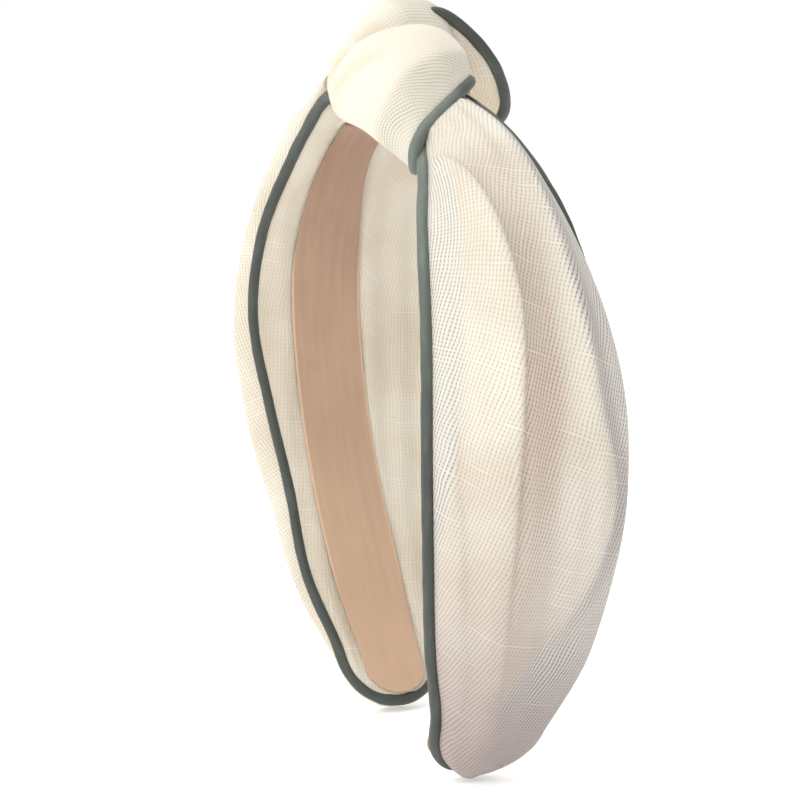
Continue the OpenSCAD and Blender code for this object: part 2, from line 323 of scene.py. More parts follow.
class Sock:
    """A number in a material's node tree; its operators add Math nodes."""

    def __init__(self, paint: "Paint", socket: bpy.types.NodeSocket) -> None:
        """Wrap a socket of the paint's tree."""
        self.paint = paint
        self.socket = socket

    def math(self, operation: str, *others: "Sock | float", first: "Sock | float | None" = None) -> "Sock":
        """Math node on this value and the others.

        Args:
            operation: the Math node's operation.
            others: its further inputs.
            first: an input that goes before this value.

        Returns:
            The result.
        """
        values = ([] if first is None else [first]) + [self, *others]
        return self.paint.node("ShaderNodeMath", {"operation": operation}, dict(enumerate(values)))

    def __add__(self, other: "Sock | float") -> "Sock":
        """Sum."""
        return self.math("ADD", other)

    __radd__ = __add__

    def __mul__(self, other: "Sock | float") -> "Sock":
        """Product."""
        return self.math("MULTIPLY", other)

    __rmul__ = __mul__

    def __sub__(self, other: "Sock | float") -> "Sock":
        """Difference."""
        return self.math("SUBTRACT", other)

    def __rsub__(self, other: float) -> "Sock":
        """Number less this value."""
        return self.math("SUBTRACT", first=other)

    def __truediv__(self, other: "Sock | float") -> "Sock":
        """Quotient."""
        return self.math("DIVIDE", other)

    def __abs__(self) -> "Sock":
        """Size without sign."""
        return self.math("ABSOLUTE")

    def sine(self) -> "Sock":
        """Sine of this value in radians."""
        return self.math("SINE")

    def whole(self) -> "Sock":
        """Whole number below this value."""
        return self.math("FLOOR")

    def step(self, low: float, high: float) -> "Sock":
        """Smooth step from 0 at low to 1 at high."""
        return self.paint.node(
            "ShaderNodeMapRange",
            {"interpolation_type": "SMOOTHSTEP"},
            {"Value": self, "From Min": low, "From Max": high},
        )


class Paint:
    """A material being built, with one method for its nodes."""

    def __init__(self, name: str) -> None:
        """Start an empty material."""
        self.material = bpy.data.materials.new(name)
        self.material.use_nodes = True
        self.tree = self.material.node_tree
        self.tree.nodes.clear()

    def node(
        self, kind: str, settings: dict | None = None, values: dict | None = None, out: int | str = 0
    ) -> Sock:
        """Add a node.

        Args:
            kind: its type.
            settings: attributes that are set before its sockets.
            values: numbers, colours or Socks for its inputs, by name or index.
            out: the output to return, by name or index.

        Returns:
            That output.
        """
        made = self.tree.nodes.new(kind)
        for key, value in (settings or {}).items():
            setattr(made, key, value)
        for key, value in (values or {}).items():
            if isinstance(value, Sock):
                self.tree.links.new(value.socket, made.inputs[key])
            else:
                made.inputs[key].default_value = value
        return Sock(self, made.outputs[out])

    def parts(self, vector: Sock, kind: str = "ShaderNodeSeparateXYZ") -> list[Sock]:
        """The three numbers of a vector or colour."""
        first = self.node(kind, None, {0: vector})
        return [Sock(self, output) for output in first.socket.node.outputs]

    def uv(self) -> tuple[Sock, Sock]:
        """Place across and along the cloth, in millimetres."""
        across, along, _ = self.parts(self.node("ShaderNodeUVMap", {"uv_map": "Weave"}))
        return across, along

    def place(self) -> Sock:
        """Place on the object in metres."""
        return self.node("ShaderNodeTexCoord", None, None, "Object")

    def layers(self) -> list[Sock]:
        """How far the cloth is backed, and its shares of painted shade in hollows and towards the tip, at
        each place.
        """
        colour = self.node("ShaderNodeAttribute", {"attribute_name": "Layers"})
        return self.parts(colour, "ShaderNodeSeparateColor")

    def noise(self, vector: Sock, scale: float, detail: float = 2.0, rough: float = 0.5) -> Sock:
        """Noise value at a vector."""
        return self.node(
            "ShaderNodeTexNoise",
            {"noise_dimensions": "3D"},
            {"Vector": vector, "Scale": scale, "Detail": detail, "Roughness": rough},
        )

    def join(self, x: "Sock | float", y: "Sock | float", z: "Sock | float" = 0.0) -> Sock:
        """Vector of three numbers."""
        return self.node("ShaderNodeCombineXYZ", None, {0: x, 1: y, 2: z})

    def blend(
        self, share: "Sock | float", low: "Sock | tuple", high: "Sock | tuple", how: str = "MIX"
    ) -> Sock:
        """Colour between low and high."""
        return self.node(
            "ShaderNodeMix",
            {"data_type": "RGBA", "blend_type": how},
            {"Factor": share, 6: low, 7: high},
            2,
        )

    def raised(self, height: Sock, distance: float, strength: float = 1.0) -> Sock:
        """Normal of a bump of that height in millimetres."""
        values = {"Height": height, "Distance": distance * MM, "Strength": strength}
        return self.node("ShaderNodeBump", None, values)

    def surface(self, values: dict) -> Sock:
        """Principled shader."""
        return self.node("ShaderNodeBsdfPrincipled", None, values)

    def finish(self, values: dict) -> bpy.types.Material:
        """Material of one Principled shader."""
        return self.end(self.surface(values))

    def end(self, shader: Sock) -> bpy.types.Material:
        """Link the shader to the output and return the material."""
        output = self.tree.nodes.new("ShaderNodeOutputMaterial")
        self.tree.links.new(shader.socket, output.inputs["Surface"])
        return self.material


@dataclass(frozen=True)
class SheerLinen:
    """Slubbed gauze, sheer enough for the light and the layer behind to show.

    Where it is single its gaps take a dark painted shade, the shaded inside seen through them; in the hollows
    between folds it takes a painted shade warmed by the ribbon behind; towards the tip it takes a painted
    shade. These are colour on the cloth, from the Layers attribute.
    """

    name: str
    thread: str = "faf7ec"
    shade: str = "efe8da"
    gap: str = "c3b6a4"
    # Painted shade: the tone of the gaps where the cloth is single, the tone and gaps in the hollows between
    # folds, and the tone multiplied in towards the tip.
    single: str = "f4f4ec"
    painted_shade_in_gaps: str = "5f5f5a"
    painted_hollow_shade: str = "e0cfc2"
    painted_hollow_gap_shade: str = "8a7064"
    painted_shade: str = "b8adb1"
    lit: str = "f2ebdd"
    pitch: float = 0.95
    lean: float = 0.35
    cover: float = 0.9
    hole: float = 0.4
    filled: float = 0.8
    glow: float = 0.35
    slub: float = 1.0

    def make(self) -> bpy.types.Material:
        """Build the material."""
        paint = Paint(self.name)
        across, along = paint.uv()
        # The last two shares say where shade is painted: in the hollows and towards the tip.
        backed, painted_hollow_shade, painted_shade = paint.layers()
        wander = paint.noise(paint.place(), 60.0, 2.0) - 0.5
        u = (across + along * self.lean + wander * 3.0) / self.pitch
        v = (along - across * self.lean + wander * 2.2) / self.pitch
        warp, weft = (u * pi).sine(), (v * pi).sine()
        over = warp * weft * 0.5 + 0.5
        warp_body, weft_body = abs(warp).step(0.2, 0.75), abs(weft).step(0.2, 0.75)
        warp_slub = paint.noise(paint.join(u.whole() * 7.3, along * 0.045), 1.0, 0.0).step(0.68, 0.78)
        weft_slub = paint.noise(paint.join(across * 0.06, v.whole() * 5.7, 3.0), 1.0, 0.0).step(0.67, 0.77)
        fine = (warp_slub * abs(warp).step(0.75, 1.0)).math("MAXIMUM", weft_slub * abs(weft).step(0.75, 1.0))
        slubs = fine * self.slub
        hole = (1 - warp_body) * (1 - weft_body * 0.65) * (1 - slubs)
        relief = warp_body * over + weft_body * (1 - over) + fine * 0.5
        clouds = paint.noise(paint.place(), 45.0, 3.0)
        drift = paint.noise(paint.join(across * 0.16, along * 0.05, 7.0), 1.0, 2.0).step(0.38, 0.62)
        body = paint.blend(clouds.step(0.35, 0.7), tone(self.shade), tone(self.thread))
        body = paint.blend(1 - backed, body, tone(self.single))
        # Painted shade in the hollows between folds.
        body = paint.blend(painted_hollow_shade, body, tone(self.painted_hollow_shade))
        body = paint.blend(slubs * 0.3, body, tone("fffef8"))
        # The gaps show the painted shade tone where the cloth is single and the underlay behind where it is
        # backed, with more painted shade in the hollows.
        gap = paint.blend(backed, tone(self.painted_shade_in_gaps), tone(self.gap))
        gap = paint.blend(painted_hollow_shade, gap, tone(self.painted_hollow_gap_shade))
        depth = (1 - backed * (1 - painted_hollow_shade) * self.filled) * (drift * 0.4 + 0.6)
        body = paint.blend(hole * depth, body, gap)
        # Painted shade multiplied in towards the tip.
        body = paint.blend(painted_shade, body, tone(self.painted_shade), "MULTIPLY")
        alpha = self.cover - hole * self.hole + slubs * (1 - self.cover)
        front = paint.surface(
            {
                "Base Color": body,
                "Roughness": 0.62,
                "Alpha": alpha,
                "Normal": paint.raised(relief, 0.14, 0.7),
                "Sheen Weight": 0.2,
                "Sheen Roughness": 0.4,
                "Specular IOR Level": 0.2,
            }
        )
        clear = paint.node("ShaderNodeBsdfTransparent")
        lit = paint.node("ShaderNodeBsdfTranslucent", None, {"Color": tone(self.lit)})
        through_light = paint.node("ShaderNodeMixShader", None, {0: alpha, 1: clear, 2: lit})
        # Less translucent glow where shade is painted.
        glow = self.glow * (1 - painted_shade * 0.75) * (1 - hole * depth) * (1 - painted_hollow_shade * 0.4)
        return paint.end(paint.node("ShaderNodeMixShader", None, {0: glow, 1: front, 2: through_light}))


@dataclass(frozen=True)
class BiasPiping:
    """Fine dark twill on the bias round a cord, with a painted highlight along the upper near front edge."""

    name: str
    cloth: str = "2d312d"
    worn: str = "50554d"
    # Tones of the painted highlight.
    painted_highlight_cloth: str = "565f58"
    painted_highlight_worn: str = "838c82"
    pitch: float = 0.5

    def make(self) -> bpy.types.Material:
        """Build the material."""
        paint = Paint(self.name)
        across, along = paint.uv()
        rib = ((across + along) * (pi / self.pitch)).sine()
        cross = ((across - along) * (pi / self.pitch)).sine()
        twill = abs(rib) * 0.7 + abs(cross) * 0.3
        clouds = paint.noise(paint.place(), 160.0, 4.0, 0.6)
        dust = paint.noise(paint.join(across * 0.5, along * 0.12), 1.0, 3.0)
        share = twill * 0.45 + clouds * 0.35 + dust.step(0.4, 0.8) * 0.3 - 0.25
        x, y, z = paint.parts(paint.place())
        # Painted highlight: paler high up on the front edge of the right leg and the knot, where the light
        # falls, and a touch paler everywhere.
        lit = z.step(-0.03, 0.06) * x.step(-0.01, 0.01) * (1 - y.step(0.0, 0.008)) + 0.06
        cloth = paint.blend(lit, tone(self.cloth), tone(self.painted_highlight_cloth))
        worn = paint.blend(lit, tone(self.worn), tone(self.painted_highlight_worn))
        body = paint.blend(share.step(0.0, 1.0), cloth, worn)
        return paint.finish({
            "Base Color": body,
            "Roughness": clouds * 0.2 + 0.42,
            "Normal": paint.raised(twill + clouds * 0.6, 0.05, 0.6),
            "Sheen Weight": 0.15,
            "Sheen Roughness": 0.35,
            "Sheen Tint": tone("9aa29a"),
            "Specular IOR Level": 0.45,
        })  # fmt: skip


@dataclass(frozen=True)
class SatinRibbon:
    """Smooth matt ribbon with a fine cross rib, a paler cut edge and painted shade that deepens higher up
    inside the hoop.
    """

    name: str
    # The low tone is the ribbon's own; the middle and top tones are painted shade, darker higher up inside
    # the hoop.
    low: str = "b5987f"
    middle: str = "9f846d"
    top: str = "8b6e5c"
    edge: str = "e6c4a8"
    rib: float = 0.22
    half_width: float = 9.0

    def make(self) -> bpy.types.Material:
        """Build the material."""
        paint = Paint(self.name)
        across, along = paint.uv()
        ribs = abs((along * (pi / self.rib)).sine())
        fine = abs((across * (pi / 0.3)).sine())
        clouds = paint.noise(paint.place(), 38.0, 4.0, 0.55)
        streak = paint.noise(paint.join(across * 0.6, along * 0.03), 1.0, 3.0)
        # Painted shade: darker from low to top as the ribbon rises inside the hoop.
        height = paint.parts(paint.place())[2]
        body = paint.blend(height.step(-0.08, 0.02), tone(self.low), tone(self.middle))
        body = paint.blend(height.step(0.0, 0.06), body, tone(self.top))
        body = paint.blend((clouds * 0.6 + streak * 0.4).step(0.35, 0.65) * 0.12, body, tone(self.edge))
        selvedge = abs(across).step(self.half_width - 0.7, self.half_width)
        body = paint.blend(selvedge * 0.5, body, tone(self.edge))
        return paint.finish({
            "Base Color": body,
            "Roughness": clouds * 0.15 + 0.45,
            "Normal": paint.raised(ribs + fine * 0.3 + clouds, 0.02, 0.5),
            "Sheen Weight": 0.3,
            "Sheen Roughness": 0.3,
            "Sheen Tint": tone("f2d9c6"),
            "Specular IOR Level": 0.4,
        })  # fmt: skip


@dataclass(frozen=True)
class SpunFibre:
    """Twisted cotton or polyester, as in filler cord, thread and tape."""

    name: str
    fibre: str = "f3f0e6"
    shade: str = "cfc8b8"
    pitch: float = 0.9
    lean: float = 1.0

    def make(self) -> bpy.types.Material:
        """Build the material."""
        paint = Paint(self.name)
        x, y, z = (part * 1000 for part in paint.parts(paint.place()))
        lay = abs(((x + z + y * self.lean) * (pi / self.pitch)).sine())
        fuzz = paint.noise(paint.place(), 900.0, 4.0, 0.7)
        body = paint.blend((lay * 0.6 + fuzz * 0.4).step(0.2, 0.8), tone(self.shade), tone(self.fibre))
        return paint.finish({
            "Base Color": body,
            "Roughness": fuzz * 0.2 + 0.65,
            "Normal": paint.raised(lay + fuzz, 0.06, 0.6),
            "Sheen Weight": 0.2,
        })  # fmt: skip


@dataclass(frozen=True)
class MouldedPlastic:
    """Milky polypropylene with fine flow marks and scuffs."""

    name: str
    body: str = "e6dfd0"
    flow: str = "d8cfbd"

    def make(self) -> bpy.types.Material:
        """Build the material."""
        paint = Paint(self.name)
        flow = paint.noise(paint.place(), 30.0, 5.0, 0.6)
        scuff = paint.noise(paint.place(), 700.0, 3.0, 0.7).step(0.6, 0.75)
        colour = paint.blend(flow.step(0.3, 0.7), tone(self.flow), tone(self.body))
        return paint.finish({
            "Base Color": colour,
            "Roughness": scuff * 0.3 + 0.32,
            "Normal": paint.raised(flow + scuff * 0.3, 0.03, 0.5),
        })  # fmt: skip


@dataclass(frozen=True)
class StudioPaper:
    """Pale seamless paper under the object."""

    name: str = "studio_paper"

    def make(self) -> bpy.types.Material:
        """Build the material."""
        paint = Paint(self.name)
        grain = paint.noise(paint.place(), 400.0, 2.0)
        colour = paint.blend(grain, tone("f7f7f6"), tone("fbfbfa"))
        return paint.finish({
            "Base Color": colour,
            "Roughness": 0.95,
            "Specular IOR Level": 0.1,
            "Emission Color": tone("ffffff"),
            "Emission Strength": 0.35,
        })  # fmt: skip


class Cupboard:
    """Every finish of the headband, built once."""

    def __init__(self) -> None:
        """Build the finishes."""
        self.sheer = SheerLinen("sheer_linen").make()
        self.underlay = SheerLinen("underlay_linen", "f0e8db", "e2d5c4", cover=0.93, lean=-0.2).make()
        # The facing and knot cloth carry their own tones of painted shade for the hollows, and the knot for
        # its gaps and threads where it is single.
        self.facing = SheerLinen(
            "facing_linen", "ede8dc", "e1d8c8", painted_hollow_shade="dcc7a4", painted_hollow_gap_shade="b59d7a",
            cover=0.95, hole=0.15, lean=0.1, filled=0.93,
        ).make()  # fmt: skip
        self.knot = SheerLinen(
            "knot_linen", "fbf8f0", "f6f0e4", single="e4e3d5", painted_shade_in_gaps="474741",
            painted_hollow_shade="e9d8ba", painted_hollow_gap_shade="c9b592", cover=0.97, hole=0.1, lean=-0.3, filled=0.93,
        ).make()  # fmt: skip
        self.piping = BiasPiping("bias_piping").make()
        self.ribbon = SatinRibbon("satin_ribbon").make()
        # The back ribbon's three tones darken upwards as painted shade.
        self.back_ribbon = SatinRibbon("back_ribbon", "c9a894", "c4a08c", "b8937f", half_width=7.0).make()
        self.cord = SpunFibre("filler_cotton").make()
        self.tape = SpunFibre("woven_tape", pitch=0.4, lean=0.0).make()
        self.thread = SpunFibre("tack_thread", pitch=0.3).make()
        self.plastic = MouldedPlastic("core_plastic").make()


def dress(obj: bpy.types.Object, material: bpy.types.Material, slot: str, *nodes: str) -> bpy.types.Object:
    """Give a piece its finish, ride it on the hoop and let it stand for its CAD nodes.

    Args:
        obj: the piece.
        material: its finish.
        slot: the record's material slot; not used.
        nodes: the CAD nodes that it replaces.

    Returns:
        The piece.
    """
    obj.data.materials.clear()
    obj.data.materials.append(material)
    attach(obj, "root")
    if nodes:
        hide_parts(*nodes)
    log.info("%s: %d faces, stands for %s", obj.name, len(obj.data.polygons), ", ".join(nodes) or "itself")
    return obj


# Casings


@dataclass
class Casing:
    """One leg's gathered casing: outer cloth, underlay, facing, piping and gathered end."""

    hoop: Hoop
    side: Side
    stock: Cupboard
    half_w: float = 19.8
    puff_h: float = 12.0
    nose_len: float = 14.0
    tip_margin: float = 1.5
    knot_start: float = 19.0
    piping_d: float = 2.8
    filler_d: float = 1.6
    puff_n: float = 1.55
    panel_n: float = 0.95
    cloth_t: float = 0.3
    collar_start: float = 44.0
    wrap_corner: float = 41.0
    shapes: dict[tuple[Side, Edge], tuple[float, ...]] = field(
        default_factory=lambda: {
            (Side.RIGHT, Edge.FRONT): (0.34, 0.47, 0.78, 0.94, 1, 0.97, 0.86, 0.64),
            (Side.RIGHT, Edge.BACK): (0.57, 0.69, 0.86, 0.955, 1, 0.93, 0.7, 0.28),
            (Side.LEFT, Edge.FRONT): (0.72, 0.76, 0.925, 0.98, 0.82, 0.66, 0.6, 0.36),
            (Side.LEFT, Edge.BACK): (1.72, 1.67, 1.59, 1.53, 1.455, 1.34, 1.15, 0.9),
        }
    )
    grip: dict[Side, float] = field(default_factory=lambda: {Side.LEFT: 2.4, Side.RIGHT: 0.8})
    grip_end: float = 4.0
    grip_len: float = 24.0
    under_knot: float = 9.0
    left_slant: float = 20.0
    cuts: dict[tuple[Side, str], tuple[tuple[float, float], float]] = field(
        default_factory=lambda: {
            (Side.LEFT, "outer"): ((0.08, 0.178), 0.0115),
            (Side.RIGHT, "outer"): ((0.064, 0.178), 0.0088),
            (Side.LEFT, "underlay"): ((0.062, 0.16), 0.0075),
            (Side.RIGHT, "underlay"): ((0.05, 0.16), 0.0059),
            (Side.LEFT, "facing"): ((0.047, 0.178), 0.0068),
            (Side.RIGHT, "facing"): ((0.037, 0.176), 0.0051),
        }
    )
    collar: tuple[tuple[float, float, float], ...] = (
        (-36, 33.6, 0), (-27, 34.6, 0.1), (-20, 35, 1), (-14.5, 33, 3.8), (-10.5, 29.8, 8.5),
        (-9, 25.7, 13.5), (-8, 20.2, 18.5), (-7.4, 14, 21.6), (-9, 9, 20),
    )  # fmt: skip

    @property
    def tip(self) -> float:
        """Length from the crown to the end of the casing."""
        return self.hoop.leg_len + self.tip_margin

    @property
    def nose_start(self) -> float:
        """Where the rounded end starts."""
        return self.tip - self.nose_len

    @property
    def word(self) -> str:
        """Start of the names of this side's pieces."""
        return self.side.name.lower()

    def edge_y(self, d: float, edge: Edge) -> float:
        """Line of the piping across the hoop on one edge, ahead of the nose."""
        share = (d - self.knot_start) / (self.nose_start - self.knot_start)
        return edge.value * self.half_w * through(self.shapes[self.side, edge], share)

    def mid(self, d: float) -> float:
        """Middle of the casing across the hoop."""
        return (self.edge_y(d, Edge.FRONT) + self.edge_y(d, Edge.BACK)) / 2

    def half(self, d: float) -> float:
        """Half width between the lines of the piping."""
        full = (self.edge_y(d, Edge.BACK) - self.edge_y(d, Edge.FRONT)) / 2
        return full * nose((d - self.nose_start) / self.nose_len)

    def spot(self, d: float, y: float, n: float) -> Vector:
        """Point on this side of the hoop, drawn up a little where the knot grips the casing."""
        grip = self.grip[self.side] * (1 - ease((d - self.grip_end) / self.grip_len))
        return self.hoop.place(self.side.value * d, y, n + grip)

    def rise(self, d: float) -> float:
        """Share of the full puff at d."""
        start = 22.0 if self.side is Side.LEFT else 55.0
        grow = ease((d - self.knot_start + 3) / start) * (1 - 0.55 * ease((d - 120) / 65))
        low = 0.6 if self.side is Side.LEFT else 0.2
        return (low + (1 - low) * grow) * nose((d - self.nose_start + 6) / (self.nose_len + 8))

    def pleats(self, d: float, y: float, x: float) -> float:
        """Height of the folds that run down from the knot, in millimetres.

        Args:
            d: place along the hoop.
            y: place across it.
            x: share across the cloth from the front edge.

        Returns:
            How far the cloth stands off its smooth puff.
        """
        inside = ease(x / 0.08) * ease((1 - x) / 0.08)
        gone = 1 - ease((d - 140) / 50)
        if self.side is Side.RIGHT:
            crest = self.line(d, -6, -10.5, -7.6, -4.6, -5.6, -6.8, -6.8, -5, -4)
            second = self.line(d, 2, 5.4, 7.4, 10.6, 12.4, 14.2, 13, 10, 6)
            flat = self.line(d, -9, -12.5, -12.6, -13.8, -14.8, -14, -12, -10, -8)
            q = y - crest
            main = exp(-((q / 4.2) ** 2)) if q < 0 else (1 - ease(q / 1.7)) * 0.8 + 0.2 * exp(-((q / 6) ** 2))
            height = self.line(d, 0.8, 3.0, 4.2, 4.0, 3.4, 2.8, 1.8, 0.8, 0.3) * main
            height += 1.7 * bump(y, second, 2.6) * (1 - ease((d - 100) / 45))
            height -= 1.6 * bump(y, (crest + second) / 2, 4.0) * ease((d - 40) / 30) * gone
            height -= 1.5 * bump(y, flat, 1.8) * ease((d - 45) / 25) * (0.3 + 0.7 * gone)
        else:
            height = 1.0 * sin(y * 0.42 + d * 0.03) * ease((x - 0.1) / 0.2)
        fan = 0.55 * sin(x * 44 + 1.4 * sin(d * 0.06)) * (1 - ease((d - 22) / 42))
        ripple = 0.2 * sin(y * 0.9 + 2.2 * sin(d * 0.045 + y * 0.1)) * gone
        pucker = 0.16 * sin(d * 1.3 + 2 * sin(d * 0.31)) * (bump(x, 0.06, 0.05) + bump(x, 0.94, 0.05))
        return (height + fan + ripple) * inside + pucker

    def line(self, d: float, *values: float) -> float:
        """Smooth value at d of a line given every 20 mm from 20 mm down the hoop."""
        return through(values, (d - 20) / (20 * (len(values) - 1)))

    def puffed(self, d: float, x: float, height: float, reach: float, inset: float, folds: float) -> Vector:
        """Point on a gathered layer.

        Args:
            d: place along the hoop.
            x: share across from the front edge to the back edge.
            height: full height of the puff.
            reach: share of the width between the lines of the piping.
            inset: how far inside the outer face.
            folds: share of the pleats that shows on this layer.

        Returns:
            The point in millimetres.
        """
        rise = self.rise(d)
        near_tip = nose((d - self.nose_start + 12) / (self.nose_len + 14))
        if self.side is Side.RIGHT:
            over_front, over_back = 0.0, self.line(d, 0, 0, 0.4, 1.8, 4.1, 4.9, 5.0, 6.7, 8.0)
        else:
            over_front = self.line(d, 2.8, 3.4, 4.6, 6.1, 7.9, 8, 6, 4, 1.5)
            over_back = self.line(d, 0, 2, 3, 4, 4, 4, 3, 2, 1)
        half = max(self.half(d) * reach - inset - self.piping_d / 2 * 0.7, 0.05)
        front = sin(pi * min(x / 0.34, 1)) ** 1.3
        back = sin(pi * min((1 - x) / 0.34, 1)) ** 1.3
        y = self.mid(d) - half * cos(pi * x) + (over_back * back - over_front * front) * reach * near_tip
        lift = max(height * rise - 2 * inset, 0.4)
        power = 0.7
        if self.side is Side.RIGHT:
            low_back = 1 - ease((d - 55) / 40)
            power = (1.2 - 0.5 * ease(x / 0.6)) if x < 0.6 else 0.7 + 1.1 * low_back * ease((x - 0.5) / 0.3)
        shape = max(sin(pi * x), 0.0) ** power
        n = self.puff_n - 0.6 + inset + lift * shape + self.pleats(d, y, x) * rise * folds
        if self.side is Side.RIGHT:
            n = min(n, 1.0 + 1.25 * max(d - 27.5 + y * 1.05, 0.0) ** 0.8)
        return self.spot(d, y, max(n, self.puff_n - 0.6))

    def station(self, share: float, u: float, start: float, end: float) -> float:
        """Place along the hoop, from a slanting start, with rows closer together at the rounded end."""
        if self.side is Side.LEFT:
            start += self.left_slant * ease((u - 0.3) / 0.5)
        return start + (end - start) * sin(pi / 2 * share) ** 0.9

    def layers(self, d: float, u: float) -> tuple[float, float, float]:
        """How the outer cloth shows what lies behind it, and where shade is painted on it.

        Args:
            d: place along the hoop.
            u: share across from the front edge.

        Returns:
            Shares that are backed by the underlay, of painted shade in the hollow between folds, and of
            painted shade towards the tip and along the strip just past the underlay's back edge.
        """
        if self.side is Side.LEFT:
            return 1.0, 0.0, 0.0
        y = self.puffed(d, u, self.puff_h, 1, 0, 1).y
        back = self.line(d, 5, 5.5, 6.7, 9.4, 13, 17.5, 11.5, -1.5, -3)
        front = self.line(d, -8, -9, -10.7, -13.1, -15.3, -17.8, -19, -20, -20)
        backed = ease((back - y) / 0.8) * ease((y - front) / 1.2)
        crest = self.line(d, -6, -9, -7.2, -4.6, -5.6, -6.8, -6.4, -4.4, -3.5)
        fade = self.line(d, 0, 1, 4, 6, 6.9, 5, 2, 0, 0)
        # Painted shade in the hollow to the right of the crest.
        painted_hollow_shade = ease((y - crest - 0.2) / 1.0) * (1 - ease((y - fade + 3.5) / 4.5)) * bump(d, 98, 38)
        # Painted shade that deepens towards the tip, and along the strip just past the underlay's back edge.
        painted_shade = 0.16 + 0.28 * ease((d - 90) / 50) + 0.58 * ease((d - 126) / 56)
        strip = ease((y - back) / 0.8) * (1 - 0.7 * ease((y - back - 2.5) / 3))
        painted_shade += 0.5 * strip * (1 - ease((d - 120) / 35))
        return backed, 0.85 * painted_hollow_shade, min(painted_shade, 1.0)

    def outer(self) -> bpy.types.Object:
        """The sheer outer cloth.

        Returns:
            The piece.
        """
        start, end = self.knot_start - self.under_knot, self.tip - 1.6
        obj = woven_grid(
            f"{self.word}_outer_cloth", 150, 84,
            lambda v, u: self.puffed(self.station(v, u, start, end), u, self.puff_h, 1, 0, 1),
            layers=lambda v, u: self.layers(self.station(v, u, start, end), u),
        )  # fmt: skip
        thicken(obj, self.cloth_t)
        dress(obj, self.stock.sheer, "sheer_cloth", f"{self.word}_outer_panel")
        flat, area = self.cuts[self.side, "outer"]
        return obj

    def under(self) -> bpy.types.Object:
        """The narrower cloth that fills out the puff.

        Returns:
            The piece.
        """

        def place(v: float, u: float) -> Vector:
            """Point on the underlay."""
            d = self.station(v, u, self.knot_start - 2, self.nose_start + 2)
            return self.puffed(d, 0.06 + 0.86 * u, self.puff_h * 0.82, 0.9, 0.9, 0.9)

        obj = woven_grid(f"{self.word}_underlay_cloth", 100, 56, place)
        thicken(obj, self.cloth_t)
        dress(obj, self.stock.underlay, "underlay_cloth", f"{self.word}_underlay")
        flat, area = self.cuts[self.side, "underlay"]
        return obj

    def facing(self) -> bpy.types.Object:
        """The flat cloth on the inside of the casing, with the soft ripple of its seams.

        Returns:
            The piece.
        """
        start, end = self.knot_start - self.under_knot, self.tip - self.piping_d / 2 - 0.2

        def place(v: float, u: float) -> Vector:
            """Point on the facing."""
            d = self.station(v, u, start, end)
            y = self.mid(min(d, self.nose_start)) + (2 * u - 1) * max(self.half(d) - 0.9, 0.2)
            core = self.hoop.core_mid(self.side.value * d)
            beyond = ease((abs(y - core) - 7.5) / 3.0) * ease((1 - abs(2 * u - 1)) / 0.12)
            fold = 0.55 * sin(y * 0.8 + 1.5 * sin(d * 0.05)) + 0.3 * sin(d * 0.23 + y * 0.2)
            return self.spot(d, y, -self.panel_n - 0.1 - beyond * (0.55 + 0.6 * fold))

        obj = woven_grid(f"{self.word}_facing_cloth", 130, 48, place)
        thicken(obj, self.cloth_t, 0.0)
        dress(obj, self.stock.facing, "facing_cloth", f"{self.word}_inner_panel")
        flat, area = self.cuts[self.side, "facing"]
        return obj

    def piping_path(self) -> list[Vector]:
        """Line of the piping round this casing.

        Returns:
            Its points in millimetres.
        """
        left = self.side is Side.LEFT
        path = []
        front_from = self.knot_start - 16 if left else self.wrap_corner - 2
        back_from = self.collar_start if left else self.knot_start - 6
        for d, edge in [(front_from, Edge.FRONT), (back_from, Edge.BACK)]:
            side_line = []
            for i in range(61):
                t = d + (self.nose_start - d) * i / 60
                side_line.append(self.spot(t, self.mid(t) + edge.value * self.half(t), 0))
            if edge is Edge.FRONT:
                path += side_line
                mid, half = self.mid(self.nose_start), self.half(self.nose_start)
                for i in range(1, 36):
                    a = radians(-90 + 5 * i)
                    path.append(self.spot(self.nose_start + self.nose_len * cos(a), mid + half * sin(a), 0))
            else:
                path += side_line[::-1]
        if left:
            knots = [Vector(p) for p in self.collar]
            for i in range(49):
                path.append(self.hoop.place(*through(knots, i / 48)))
        return smooth_path(path, 0.9, 6)

    def piping(self) -> None:
        """The covered piping and the cord inside it."""
        path = self.piping_path()
        r = self.piping_d / 2
        cover = tube(
            f"{self.word}_piping_cover", path,
            lambda s, a: r * (1 + 0.025 * sin(s * 0.7 + 2 * sin(s * 0.13)) + 0.02 * sin(3 * a + s * 0.4)), 20,
        )  # fmt: skip
        dress(cover, self.stock.piping, "piping_cloth", f"{self.word}_piping")
        filler = strands(f"{self.word}_cord_strands", path, self.filler_d)
        dress(filler, self.stock.cord, "filler_cord", f"{self.word}_filler_cord")

    def gather(self) -> bpy.types.Object:
        """The pleated end of the casing under the knot.

        Returns:
            The piece.
        """

        def place(v: float, u: float) -> Vector:
            """Point on the gathers."""
            d = 1 + (self.knot_start - 2) * v
            wave = 0.5 * sin(u * 40) * (0.4 + 0.6 * v)
            return self.spot(d, self.mid(d) - 8 * cos(pi * u), self.puff_n + 0.7 + 1.6 * sin(pi * u) + wave)

        obj = woven_grid(f"{self.word}_gathers", 20, 60, place)
        thicken(obj, self.cloth_t)
        dress(obj, self.stock.sheer, "sheer_cloth", f"{self.word}_gather")
        return obj

    def build(self) -> None:
        """Make every piece of this casing."""
        self.under()
        self.outer()
        self.facing()
        self.piping()
        self.gather()


# Hoop


